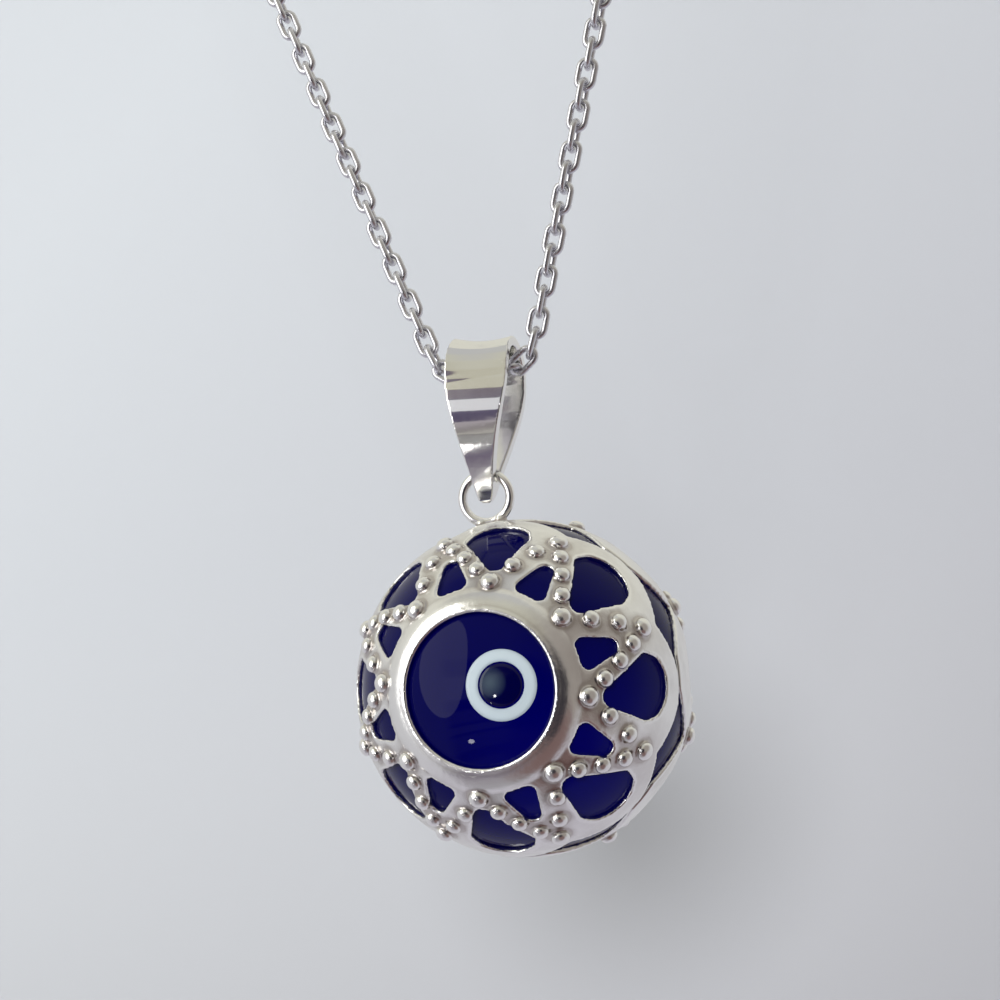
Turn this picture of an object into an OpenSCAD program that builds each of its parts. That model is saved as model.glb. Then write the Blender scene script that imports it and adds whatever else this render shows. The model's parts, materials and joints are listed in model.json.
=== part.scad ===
// Evil eye pendant: a cobalt glass bead in a pierced silver cage, hung by a ring and a folded bail on
// a fine cable chain. The eye looks along -Y, +X is right and +Z is up. The origin is the centre of
// the neck at the level where the chain lies on it. All sizes are in mm and all angles in degrees.

/* [Ball] */
// Outer radius of the silver cage
ball_r = 10; // [9:0.5:14]
// Wall of the two silver cups
shell_t = 0.35; // [0.35:0.05:0.6]
// Clearance between the cups and the glass bead
glass_gap = 0.06; // [0.05:0.01:0.15]
// Angle from the middle of the front cup to its rim
front_reach = 77.5; // [74:0.5:86]
// Gap between the rims of the two cups
seam_gap = 0.2; // [0.15:0.05:0.4]
// How far the front cup's star is turned clockwise from the ring
star_turn = 11.7; // [0:0.1:22.5]
// How far the inner openings of the star are turned past the outer ones
star_twist = 3.3; // [0:0.1:4]
// How far the back cup's star is turned from the front cup's
back_turn = -5.7; // [-10:0.1:10]

/* [Star pattern] */
// Number of points of the star
star_points = 8; // [7:1:9]
// Radius of the round beads along the legs of the star
bead_r = 0.48; // [0.4:0.01:0.5]
// Radius of the larger beads at the valleys and tips of the star
big_bead_r = 0.54; // [0.48:0.02:0.6]
// Number of beads along a short leg, between a valley and a tip. The long legs have one more.
leg_beads = 2; // [1:1:3]
// Rounding of the corners of the small openings
small_corner_r = 0.45; // [0.3:0.05:0.55]
// Rounding of the corners of the large openings
large_corner_r = 0.6; // [0.4:0.05:0.7]
// Radius of the raised wire round the eye opening
eye_rim_r = 0.2; // [0.15:0.05:0.3]
// How high the smooth band round the eye opening bulges
band_rise = 0.2; // [0.1:0.05:0.3]

/* [Glass eye] */
// Outer radius of the white ring
white_r = 2; // [1.6:0.05:2.3]
// Radius of the dark pupil
pupil_r = 1.24; // [0.8:0.05:1.4]
// How deep the white and the pupil are set into the glass
eye_depth = 0.5; // [0.3:0.1:1]
// Clearance round the white and the pupil
eye_gap = 0.03; // [0.02:0.01:0.06]
// How far the glass bead is turned to the right in its cage
eye_turn = 8.5; // [0:0.5:12]

/* [Ring] */
// Radius of the ring to the middle of its wire
ring_r = 1.5; // [1.3:0.05:1.8]
// Radius of the ring's wire
ring_wire_r = 0.25; // [0.18:0.01:0.26]
// Radius of the solder at the foot of the ring
solder_r = 0.4; // [0.3:0.05:0.5]

/* [Bail] */
// Width of the bail's strip at its widest
bail_w = 3.9; // [3:0.1:4.5]
// Thickness of the strip
bail_t = 0.55; // [0.4:0.05:0.65]
// Half the depth inside the bail's fold at its deepest
bail_in_r = 1.8; // [1.5:0.05:2.2]
// Height of the chain in the bail above the ring's wire
bail_drop = 6.05; // [5.5:0.1:7.5]
// Radius of the notch in which the ring hangs
notch_r = 0.42; // [0.4:0.02:0.5]
// Height of the joined tip of the strip, under the notch
tip_h = 1.28; // [1.1:0.02:1.3]
// How far the bail leans clockwise on the chain
bail_lean = 6; // [-8:0.5:8]
// How far the ball leans clockwise in the bail's ring
drop_lean = -5.6; // [-8:0.1:8]

/* [Chain] */
// Length of the whole chain
chain_len = 450; // [400:5:500]
// Length of a link
link_len = 2.1; // [2:0.05:2.3]
// Width of a link
link_w = 1.35; // [1.25:0.05:1.4]
// Diameter of a link's wire
link_wire = 0.35; // [0.3:0.01:0.36]
// Clearance between two interlocked links
link_gap = 0.11; // [0.11:0.01:0.15]
// Angle of each strand from the vertical
strand_angle = 17.8; // [14:0.2:22]
// Clearance of the chain under the top of the bail
chain_gap = 0.85; // [0.6:0.05:1]
// Radius of the plain ring clasp to the middle of its wire
clasp_r = 2.2; // [2:0.1:3]
// Radius of the clasp's wire
clasp_wire_r = 0.25; // [0.2:0.01:0.27]

/* [Hidden] */
$fn = 48;
silver = [0.86, 0.86, 0.85];
cobalt = [0.02, 0.03, 0.35];
eye_white = [0.85, 0.87, 0.88];
pupil_blue = [0.02, 0.03, 0.08];
far = 4 * ball_r;

// Angles of the pattern from the middle of a cup, as shares of the angle to its rim.
eye_edge = 0.340;
eye_band = 0.428;
small_at = 0.526;
large_at = 0.720;
valley_at = 0.467;
tip_at = 0.800;
front_notch = 0.910;
back_notch = 0.860;

// Corners of the openings before they are rounded. Columns: share of half the pitch of the star to
// the side, share of the angle to the rim.
SMALL_OPENING = [[-0.19, 0.485], [0.19, 0.485], [0, 0.606]];
LARGE_OPENING = [[0.12, 0.583], [0.325, 0.766], [0.26, 0.812], [0.12, 0.838], [-0.04, 0.845],
                 [-0.20, 0.838], [-0.34, 0.812], [-0.41, 0.766]];

// Half the pitch of the star.
half_pitch = 180 / star_points;
notch_steps = 6;

// Unit vector at an angle from the pole and a clockwise turn round it.
function polar(tilt, turn) = [sin(tilt) * sin(turn), sin(tilt) * cos(turn), cos(tilt)];
function unit(v) = v / norm(v);

// Point on the plane that touches the ball at tilt and turn 0, seen from the ball's centre.
// Columns: to the side, outward.
function on_plane(tilt, p) =
    let (out = [0, cos(tilt), -sin(tilt)], up = [0, sin(tilt), cos(tilt)])
    ball_r * [p[0], p * out] / (p * up);

// A convex outline, given anticlockwise, with each corner rounded outward by r.
function rounded(pts, r, step = 30) =
    let (n = len(pts))
    [for (i = [0 : n - 1])
        let (a = pts[i] - pts[(i + n - 1) % n], b = pts[(i + 1) % n] - pts[i],
             from = atan2(-a[0], a[1]), turn = ((atan2(-b[0], b[1]) - from) % 360 + 360) % 360,
             arcs = max(1, ceil(turn / step)))
        for (k = [0 : arcs]) pts[i] + r * [cos(from + turn * k / arcs), sin(from + turn * k / arcs)]];

// An opening's corners on the plane that touches the ball at its middle.
function opening(rows, middle, reach) =
    [for (row = rows) on_plane(middle * reach, polar(row[1] * reach, row[0] * half_pitch))];

// Turns a piece from the pole to a tilt from it and a clockwise turn round it.
module at(tilt, turn) rotate([0, 0, -turn]) rotate([-tilt, 0, 0]) children();

// A hole through the shell, straight through at its middle.
module pierce(rows, middle, reach, corner_r, turn) {
    at(middle * reach, turn) translate([0, 0, ball_r - 3 * shell_t])
        linear_extrude(6 * shell_t) polygon(rounded(opening(rows, middle, reach), corner_r));
}

// The notch between two lobes of the rim, which swell from one point to the next.
module rim_notch(reach, deepest, turn) {
    middle = deepest * reach;
    side = [for (k = [0 : notch_steps])
        on_plane(middle, polar(middle + 1.04 * (reach - middle) * sin(90 * k / notch_steps),
                               half_pitch * k / notch_steps))];
    top = 2 * side[notch_steps][1];
    at(middle, turn) translate([0, 0, ball_r - 3 * shell_t]) linear_extrude(6 * shell_t)
        polygon(concat(side, [[side[notch_steps][0], top], [-side[notch_steps][0], top]],
                       [for (k = [notch_steps : -1 : 1]) [-side[k][0], side[k][1]]]));
}

// Half section of a cup: the shell, the raised wire round the eye and the smooth band beside it.
module cup_section(reach) {
    band_r = ball_r * (eye_band - eye_edge) * reach * PI / 180 + eye_rim_r;
    band_tilt = (eye_edge + eye_band) / 2 * reach;
    intersection() {
        difference() {
            union() {
                circle(ball_r);
                rotate(-eye_edge * reach) translate([0, ball_r - eye_rim_r / 3]) circle(eye_rim_r);
                rotate(-band_tilt) translate([0, ball_r + band_rise - band_r]) circle(band_r);
            }
            circle(ball_r - shell_t);
        }
        polygon([far * [sin(eye_edge * reach), cos(eye_edge * reach)], far * [1, 1],
                 far * [sin(reach), cos(reach)], [0, 0]]);
    }
    rotate(-eye_edge * reach) translate([0, ball_r - eye_rim_r / 3]) circle(eye_rim_r);
}

// Height of a bead's centre: on the ball's surface, or higher where it would reach through the wall.
function bead_seat(r) = ball_r + max(0, r + 0.02 - shell_t);
module round_bead(r, tilt, turn) at(tilt, turn) translate([0, 0, bead_seat(r)]) sphere(r);

// The bead row of one leg of the star, from its valley at turn to its tip half a pitch away. The
// anticlockwise legs are the long ones.
module leg(reach, turn, side) {
    beads = side < 0 ? leg_beads + 1 : leg_beads;
    valley = polar(valley_at * reach, turn + star_twist);
    tip = polar(tip_at * reach, turn + side * half_pitch);
    for (i = [1 : beads]) {
        place = unit(valley + (tip - valley) * i / (beads + 1));
        translate(bead_seat(bead_r) * place) sphere(bead_r);
    }
}

// One pierced cup with its pole along +Z. The large openings stand over the valleys of the star.
module cup(reach, notch) {
    difference() {
        rotate_extrude() cup_section(reach);
        for (i = [0 : star_points - 1]) {
            pierce(LARGE_OPENING, large_at, reach, large_corner_r, 2 * i * half_pitch);
            pierce(SMALL_OPENING, small_at, reach, small_corner_r, (2 * i + 1) * half_pitch + star_twist);
            rim_notch(reach, notch, (2 * i + 1) * half_pitch);
        }
    }
    for (i = [0 : star_points - 1]) {
        round_bead(big_bead_r, valley_at * reach, 2 * i * half_pitch + star_twist);
        round_bead(big_bead_r, tip_at * reach, (2 * i + 1) * half_pitch);
        for (side = [-1, 1]) leg(reach, 2 * i * half_pitch, side);
    }
}

// Turns a cup or an eye from +Z to the front or to the back of the ball.
module facing(front) rotate([0, 0, front ? 0 : 180]) rotate([90, 0, 0]) children();

// Heights in the frame of the bail, whose origin is the middle of the chain's run through it.
inner_top = link_w / 2 + chain_gap;
notch_z = -bail_drop - ring_wire_r - 0.3 + notch_r;
tip_z = notch_z - notch_r - tip_h;

// Route of the chain: through the bail, round a turn, up a strand, over the shoulder, round the neck.
run_half = bail_w / 2 - 0.71;
turn_r = 2.07;
shoulder_r = 8;
turn_angle = 90 - strand_angle;
up = [sin(strand_angle), 0, cos(strand_angle)];
inward = [-cos(strand_angle), 0, sin(strand_angle)];
turn_len = turn_r * turn_angle * PI / 180;
shoulder_len = shoulder_r * PI / 2;
turn_x = run_half + turn_r * cos(strand_angle);
strand_len = (chain_len / 2 - run_half - turn_len - shoulder_len
              - PI / 2 * (turn_x + shoulder_r * up[0])) / (1 + PI / 2 * up[0]);
neck_r = turn_x + (strand_len + shoulder_r) * up[0];
turn_z = -(strand_len + shoulder_r) * up[2];
run_z = turn_z - turn_r * (1 - cos(turn_angle));
strand_s = run_half + turn_len;
shoulder_s = strand_s + strand_len;
neck_s = shoulder_s + shoulder_len;

// Place, direction and inward vector of the right half of the route, at a length s along it.
function half_route(s) =
    s < run_half ? [[s, 0, run_z], [1, 0, 0], [0, 0, 1]]
    : s < strand_s ?
        let (a = (s - run_half) / turn_r * 180 / PI)
        [[run_half + turn_r * sin(a), 0, run_z + turn_r * (1 - cos(a))],
         [cos(a), 0, sin(a)], [-sin(a), 0, cos(a)]]
    : s < shoulder_s ? [[turn_x, 0, turn_z] + (s - strand_s) * up, up, inward]
    : s < neck_s ?
        let (a = (s - shoulder_s) / shoulder_r * 180 / PI)
        [[turn_x, 0, turn_z] + (strand_len + shoulder_r * sin(a)) * up
         + [0, shoulder_r * (1 - cos(a)), 0], cos(a) * up + [0, sin(a), 0], inward]
    : let (a = (s - neck_s) / neck_r * 180 / PI)
        [[neck_r * cos(a), shoulder_r + neck_r * sin(a), 0], [-sin(a), cos(a), 0],
         [cos(a) * inward[0], sin(a) * inward[0], inward[2]]];

// The left half is the right half seen in a mirror and run the other way.
function route(s) =
    let (r = half_route(abs(s)), m = [-1, 1, 1])
    s >= 0 ? r : [[for (i = [0 : 2]) m[i] * r[0][i]], [for (i = [0 : 2]) -m[i] * r[1][i]],
                  [for (i = [0 : 2]) m[i] * r[2][i]]];

// Links: each runs between two joints on the route, and every second one is turned by 90 degrees.
link_pitch = link_len - 2 * link_wire - link_gap;
front_links = 24;
link_stations = 10;
wire_sides = 5;
tube_sides = 8;
strand_rings = 12;
shoulder_rings = 7;
neck_rings = 20;

// Faces between rings of sides points each, closed into a loop or left for two end caps.
function ring_faces(rings, sides, closed) =
    [for (i = [0 : closed ? rings - 1 : rings - 2], j = [0 : sides - 1])
        [i * sides + j, i * sides + (j + 1) % sides,
         ((i + 1) % rings) * sides + (j + 1) % sides, ((i + 1) % rings) * sides + j]];

module chain_link(index) {
    a = route((index - 0.5) * link_pitch)[0];
    b = route((index + 0.5) * link_pitch)[0];
    along = unit(b - a);
    flat = route(index * link_pitch)[2];
    upright = unit(flat - (flat * along) * along);
    side = index % 2 == 0 ? upright : cross(along, upright);
    through = cross(along, side);
    bend_r = (link_w - link_wire) / 2;
    straight = (link_len - link_w) / 2;
    step = 180 / (link_stations / 2 - 1);
    points = [for (k = [0 : link_stations - 1], j = [0 : wire_sides - 1])
        let (far_end = k >= link_stations / 2,
             turn = far_end ? 90 + step * (k - link_stations / 2) : -90 + step * k,
             outward = cos(turn) * along + sin(turn) * side,
             middle = (a + b) / 2 + (far_end ? -straight : straight) * along + bend_r * outward)
        middle + link_wire / 2 * (cos(360 * j / wire_sides) * outward
                                  + sin(360 * j / wire_sides) * through)];
    polyhedron(points, ring_faces(link_stations, wire_sides, true));
}

// The plain stretch of chain that the fine links fill: up the strand, over the shoulder, round the neck.
module chain_tube(direction) {
    from = front_links * link_pitch + link_len / 2 + link_gap;
    to = chain_len / 2 - clasp_r - clasp_wire_r - link_gap;
    stations = concat([for (i = [0 : strand_rings - 1]) from + (shoulder_s - from) * i / strand_rings],
                      [for (i = [0 : shoulder_rings - 1]) shoulder_s + shoulder_len * i / shoulder_rings],
                      [for (i = [0 : neck_rings]) neck_s + (to - neck_s) * i / neck_rings]);
    points = [for (s = stations, j = [0 : tube_sides - 1])
        let (r = route(direction * s), turn = 360 * (j + 0.5) / tube_sides)
        r[0] + link_w / 2 * (cos(turn) * r[2] + sin(turn) * cross(r[1], r[2]))];
    last = (len(stations) - 1) * tube_sides;
    caps = [[for (j = [tube_sides - 1 : -1 : 0]) j], [for (j = [0 : tube_sides - 1]) last + j]];
    faces = concat(ring_faces(len(stations), tube_sides, false), caps);
    polyhedron(points, direction > 0 ? faces : [for (f = faces) [for (k = [len(f) - 1 : -1 : 0]) f[k]]]);
}

// Places of the bail and of the ball, each leaning a little to its side as it hangs.
function lean(v, a) = [v[0] * cos(a) + v[2] * sin(a), v[1], v[2] * cos(a) - v[0] * sin(a)];
ring_h = ball_r + ring_r + ring_wire_r / 2;
bail_at = [0, 0, run_z];
hang_at = bail_at + lean([0, 0, -bail_drop], bail_lean);
ring_at = hang_at + lean([0, 0, -ring_r], bail_lean);
ball_at = ring_at + lean([0, 0, -ring_h], drop_lean);

module on_bail() translate(bail_at) rotate([0, bail_lean, 0]) children();
module on_drop() translate(ball_at) rotate([0, drop_lean, 0]) children();

module front_cup() color(silver)
    on_drop() facing(true) rotate([0, 0, -star_turn]) cup(front_reach, front_notch);

// The back cup carries the ring, soldered on at the top of the ball.
module back_cup() color(silver) on_drop() {
    reach = 180 - front_reach - seam_gap / ball_r * 180 / PI;
    facing(false) rotate([0, 0, star_turn + back_turn]) cup(reach, back_notch);
    translate([0, 0, ring_h]) rotate([90, 0, 0]) rotate_extrude() translate([ring_r, 0]) circle(ring_wire_r);
    for (side = [-1, 1]) translate([side * 1.5 * solder_r, 0, ball_r + solder_r / 4]) sphere(solder_r);
}

// The eye's axis is along +Z here. The pockets take the white rings and pupils on both sides.
glass_r = ball_r - shell_t - glass_gap;
pocket_z = glass_r - eye_depth;
module on_eye(front) on_drop() rotate([0, 0, eye_turn]) facing(front) children();

module glass_bead() color(cobalt) difference() {
    on_drop() sphere(glass_r);
    for (front = [true, false]) on_eye(front)
        translate([0, 0, pocket_z]) cylinder(r = white_r + eye_gap, h = far);
}

module white_ring(front) color(eye_white) on_eye(front) difference() {
    intersection() {
        sphere(glass_r + eye_gap, $fn = 180);
        translate([0, 0, pocket_z + eye_gap]) cylinder(r = white_r, h = far, $fn = 90);
    }
    cylinder(r = pupil_r + eye_gap, h = far, $fn = 90);
}

module pupil(front) color(pupil_blue) on_eye(front) intersection() {
    sphere(glass_r + 2 * eye_gap, $fn = 180);
    translate([0, 0, pocket_z + eye_gap]) cylinder(r = pupil_r, h = far, $fn = 90);
}

module eye_white_front() white_ring(true);
module eye_pupil_front() pupil(true);
module eye_white_back() white_ring(false);
module eye_pupil_back() pupil(false);

// Outline of a pear, half_w to each side where it is widest. It runs from a pointed foot, pear_over
// lower than asked, up to its top and back, and it is cut off at the foot asked for.
function pear(half_w, top, foot) =
    let (middle = (top + foot - pear_over) / 2, half_h = (top - foot + pear_over) / 2)
    [for (k = [1 : 2 * arc_steps - 1])
        let (turn = 180 * k / arc_steps)
        [half_w / pear_share * sin(turn) * pow(sin(turn / 2), pear_power),
         max(foot, middle - half_h * cos(turn))]];
pear_power = 1.5;
pear_share = 0.702;
pear_over = 0.6;
arc_steps = 24;

// Width of the bail down its front. Columns: share of its height from the top, share of its width.
BAIL_OUTLINE = [[0, 0.93], [0.10, 0.98], [0.20, 1], [0.30, 0.98], [0.40, 0.89], [0.50, 0.77],
                [0.62, 0.62], [0.74, 0.48], [0.86, 0.35], [0.95, 0.27], [0.985, 0.20], [1, 0.10]];

// The folded strip: the side view of the fold, cut to the outline of the front view.
module bail() color(silver) on_bail() intersection() {
    height = inner_top + bail_t - tip_z;
    right = [for (row = BAIL_OUTLINE) [row[1] * bail_w / 2, inner_top + bail_t - row[0] * height]];
    rotate([90, 0, 90]) translate([0, 0, -bail_w]) linear_extrude(2 * bail_w) difference() {
        polygon(pear(bail_in_r + bail_t, inner_top + bail_t, tip_z));
        polygon(pear(bail_in_r, inner_top, notch_z));
        translate([0, notch_z]) circle(notch_r);
    }
    rotate([90, 0, 0]) translate([0, 0, -2 * bail_in_r - bail_t])
        linear_extrude(4 * bail_in_r + 2 * bail_t)
        polygon(concat(right, [for (i = [len(right) - 1 : -1 : 0]) [-right[i][0], right[i][1]]]));
}

module chain_front() color(silver)
    for (i = [-front_links : front_links]) chain_link(i);

module chain_back() color(silver) for (direction = [-1, 1]) chain_tube(direction);

module clasp() color(silver)
    translate([0, shoulder_r + neck_r, 0]) rotate([90, 0, 0])
        rotate_extrude() translate([clasp_r, 0]) circle(clasp_wire_r);

front_cup();
back_cup();
glass_bead();
eye_white_front();
eye_pupil_front();
eye_white_back();
eye_pupil_back();
bail();
chain_front();
chain_back();
clasp();
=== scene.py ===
import json
import math

import bmesh
import bpy
import numpy as np
from bpy.props import FloatProperty, FloatVectorProperty, IntProperty, PointerProperty
from bpy.types import Operator, Panel, PropertyGroup
from mathutils import Matrix, Vector


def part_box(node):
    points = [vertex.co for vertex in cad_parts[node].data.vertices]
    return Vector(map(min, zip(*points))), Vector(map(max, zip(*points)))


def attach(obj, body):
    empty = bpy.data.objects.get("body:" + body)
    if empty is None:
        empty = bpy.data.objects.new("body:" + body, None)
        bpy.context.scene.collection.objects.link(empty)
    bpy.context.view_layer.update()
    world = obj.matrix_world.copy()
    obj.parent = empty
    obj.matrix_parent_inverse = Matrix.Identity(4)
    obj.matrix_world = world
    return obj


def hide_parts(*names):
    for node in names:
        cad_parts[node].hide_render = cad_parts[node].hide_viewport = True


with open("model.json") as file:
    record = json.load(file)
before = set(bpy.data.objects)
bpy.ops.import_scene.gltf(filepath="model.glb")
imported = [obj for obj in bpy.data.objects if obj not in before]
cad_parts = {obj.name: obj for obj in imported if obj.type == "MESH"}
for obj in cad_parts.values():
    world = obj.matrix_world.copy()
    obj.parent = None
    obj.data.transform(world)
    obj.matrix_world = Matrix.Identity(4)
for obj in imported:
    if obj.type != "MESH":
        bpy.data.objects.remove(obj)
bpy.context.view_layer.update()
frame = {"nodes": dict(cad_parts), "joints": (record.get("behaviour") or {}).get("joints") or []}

bl_info = {
    "name": "Evil Eye Pendant",
    "version": (1, 0, 0),
    "blender": (4, 5, 0),
    "location": "View3D > Sidebar > Pendant",
    "description": "Dresses the caged glass eye, its bail and its cable chain, and sets the stage for it",
    "category": "Object",
}

MM = 0.001


def middle(node):
    """The middle of a node's box."""
    low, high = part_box(node)
    return (low + high) / 2


BALL = middle("glass_bead")
GLASS_R = (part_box("glass_bead")[1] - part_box("glass_bead")[0]).x / 2
SHELL_R = GLASS_R + 0.41 * MM
# Cosine of the angle between the middle of a cup and the outside of the smooth band round its eye.
BAND_SHARE = math.cos(math.radians(34.5))
HINGES = {joint["name"]: joint for joint in frame["joints"]}
RUN_Z = HINGES["bail_swing"]["pos_m"][2]
HANG_AT = Vector(HINGES["drop_swing"]["pos_m"])
SWING_AXIS = Vector(HINGES["drop_swing"]["axis"]).normalized()
BAIL_DOWN = Vector((SWING_AXIS.z, 0, -SWING_AXIS.x))
RING_R = 1.5 * MM
RING_WIRE = 0.56 * MM
RING_AT = HANG_AT + RING_R * BAIL_DOWN


def eye_axis(side):
    """Unit vector from the middle of the glass to one of its two pupils."""
    return (middle(f"eye_pupil_{side}") - BALL).normalized()


class SilverSettings(PropertyGroup):
    """Colours and surface of the silver."""

    # Bright silver is the silver's own colour. On the cast cups it also stands as painted highlight on beads
    # and edges, and the darker copy below it is painted shade between the beads and in creases.
    bright: FloatVectorProperty(
        name="Bright silver", description="Colour of polished silver on beads and edges",
        subtype="COLOR", size=3, min=0, max=1, default=(0.925, 0.92, 0.905))
    painted_shade: FloatVectorProperty(
        name="Shaded silver", description="Colour of the duller silver between the beads",
        subtype="COLOR", size=3, min=0, max=1, default=(0.56, 0.525, 0.50))
    dark: FloatVectorProperty(
        name="Chain silver", description="Colour of the darker silver of the chain",
        subtype="COLOR", size=3, min=0, max=1, default=(0.74, 0.74, 0.78))
    cast_roughness: FloatProperty(
        name="Cast roughness", description="Roughness of the cast cups",
        subtype="FACTOR", min=0, max=1, default=0.2)
    drawn_roughness: FloatProperty(
        name="Drawn roughness", description="Roughness of the bail and the ring",
        subtype="FACTOR", min=0, max=1, default=0.08)
    chain_roughness: FloatProperty(
        name="Chain roughness", description="Roughness of the chain and its clasp",
        subtype="FACTOR", min=0, max=1, default=0.24)
    bead_height: FloatProperty(
        name="Bead height", description="Share of their height that the beads keep above the shell",
        subtype="FACTOR", min=0.3, max=1, default=0.66)
    bail_flare: FloatProperty(
        name="Flare of the bail", description="How far the edges of the bail's fold curl outward",
        subtype="DISTANCE", unit="LENGTH", min=0, max=0.0006, default=0.0003)
    bail_bow: FloatProperty(
        name="Bow of the bail", description="How far the leaves of the bail bow outward",
        subtype="DISTANCE", unit="LENGTH", min=0, max=0.0006, default=0.00042)
    grain: FloatProperty(
        name="Grain", description="Height of the fine unevenness left by casting",
        subtype="DISTANCE", unit="LENGTH", min=0, max=0.0002, default=0.000025)
    softness: IntProperty(
        name="Softness", description="How many times the cast edges are smoothed",
        min=0, max=30, default=3)
    cup_cell: FloatProperty(
        name="Cell of the cups", description="Size of the cells that the cast cups are rounded with",
        subtype="DISTANCE", unit="LENGTH", min=0.00008, max=0.0005, default=0.0001)
    bail_cell: FloatProperty(
        name="Cell of the bail", description="Size of the cells that the bail is rounded with",
        subtype="DISTANCE", unit="LENGTH", min=0.00004, max=0.0005, default=0.00006)


class GlassSettings(PropertyGroup):
    """Colours of the glass bead and of its two eyes."""

    cobalt: FloatVectorProperty(
        name="Cobalt", description="Colour of the blue glass",
        subtype="COLOR", size=3, min=0, max=1, default=(0.0, 0.0, 0.05))
    # Painted light: this paler blue is painted low on the right of the glass, where light would come through
    # it.
    painted_glow: FloatVectorProperty(
        name="Lit cobalt", description="Colour of the blue glass where light comes through",
        subtype="COLOR", size=3, min=0, max=1, default=(0.0, 0.0, 0.10))
    white: FloatVectorProperty(
        name="White", description="Colour of the white ring",
        subtype="COLOR", size=3, min=0, max=1, default=(0.43, 0.50, 0.54))
    white_edge: FloatVectorProperty(
        name="White edge", description="Colour of the white ring at its edges",
        subtype="COLOR", size=3, min=0, max=1, default=(0.26, 0.31, 0.38))
    pupil: FloatVectorProperty(
        name="Pupil", description="Colour of the pupil",
        subtype="COLOR", size=3, min=0, max=1, default=(0.0, 0.0, 0.03))
    pupil_glint: FloatVectorProperty(
        name="Pupil glint", description="Colour of the paler spot in the pupil",
        subtype="COLOR", size=3, min=0, max=1, default=(0.05, 0.075, 0.10))
    edge: FloatProperty(
        name="Edge", description="Rounding of the edges of the white ring and of the pupil",
        subtype="DISTANCE", unit="LENGTH", min=0, max=0.0004, default=0.00025)
    swell: FloatProperty(
        name="Swell", description="How far the glass swells into the openings of its cage",
        subtype="DISTANCE", unit="LENGTH", min=0, max=0.0003, default=0.00012)


class ChainSettings(PropertyGroup):
    """Sizes of the links."""

    link_length: FloatProperty(
        name="Link length", description="Length of a link",
        subtype="DISTANCE", unit="LENGTH", min=0.001, max=0.004, default=0.0021)
    link_width: FloatProperty(
        name="Link width", description="Width of a link",
        subtype="DISTANCE", unit="LENGTH", min=0.0008, max=0.003, default=0.00135)
    wire: FloatProperty(
        name="Wire", description="Diameter of a link's wire",
        subtype="DISTANCE", unit="LENGTH", min=0.0002, max=0.0006, default=0.00035)
    stout_wire: FloatProperty(
        name="Stout wire", description="Diameter of the wire of the near links",
        subtype="DISTANCE", unit="LENGTH", min=0.0002, max=0.0006, default=0.0004)
    gap: FloatProperty(
        name="Gap", description="Clearance between two interlocked links",
        subtype="DISTANCE", unit="LENGTH", min=0.00005, max=0.0003, default=0.00011)
    sway: FloatProperty(
        name="Sway", description="How far a link may be turned about the chain",
        subtype="ANGLE", unit="ROTATION", min=0, max=0.4, default=0.14)
    near_links: IntProperty(
        name="Near links", description="Links on each side that are made finely, besides the middle one",
        min=1, max=60, default=24)


class StageSettings(PropertyGroup):
    """Colours of the stage and strength of its lights."""

    # The backdrop is painted from the first colour, as painted light high on the left, to the second, as
    # painted shade low on the right.
    backdrop: FloatVectorProperty(
        name="Backdrop", description="Colour of the pale backdrop and floor, high on the left",
        subtype="COLOR", size=3, min=0, max=1, default=(0.60, 0.63, 0.665))
    backdrop_painted_shade: FloatVectorProperty(
        name="Low backdrop", description="Colour of the pale backdrop and floor, low on the right",
        subtype="COLOR", size=3, min=0, max=1, default=(0.455, 0.462, 0.50))
    room: FloatProperty(
        name="Room light", description="Strength of the soft light from all around",
        min=0, max=5, default=0.5)
    window: FloatProperty(
        name="Window light", description="Power of the large soft window on the left",
        subtype="POWER", unit="POWER", min=0, max=50, default=0.75)
    lamp: FloatProperty(
        name="Lamp light", description="Power of the soft lamp above the camera",
        subtype="POWER", unit="POWER", min=0, max=50, default=1.25)


def settings(context):
    """The add-on's settings."""
    return context.scene.pendant


# Meshes


def link_object(name, mesh):
    """A new object at the origin that shows the mesh."""
    piece = bpy.data.objects.new(name, mesh)
    bpy.context.scene.collection.objects.link(piece)
    return piece


def bake(piece):
    """Turns what a piece's modifiers give into its own plain mesh, and removes them."""
    graph = bpy.context.evaluated_depsgraph_get()
    mesh = bpy.data.meshes.new_from_object(piece.evaluated_get(graph), depsgraph=graph)
    piece.modifiers.clear()
    piece.data = mesh
    return piece


def finish_piece(piece, body, slot, *nodes):
    """Lets a finished piece ride on its body, in place of the nodes that it shows."""
    if not piece.data.polygons:
        raise RuntimeError(f"{piece.name} has no surface")
    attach(piece, body)
    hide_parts(*nodes)


# Points closer than this are joined: in millimetres while a mesh is scaled up, or in metres.
SCALED_WELD, WELD = 0.001, 1e-7


def weld(mesh, distance, outward=False):
    """Joins the points of a mesh that are closer than a distance, and may turn its faces outward."""
    work = bmesh.new()
    work.from_mesh(mesh)
    bmesh.ops.remove_doubles(work, verts=work.verts, dist=distance)
    if outward:
        bmesh.ops.recalc_face_normals(work, faces=work.faces)
    work.to_mesh(mesh)
    work.free()


MOST_TRIANGLES = 190000
POLISH_FACTOR = 0.5


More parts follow.
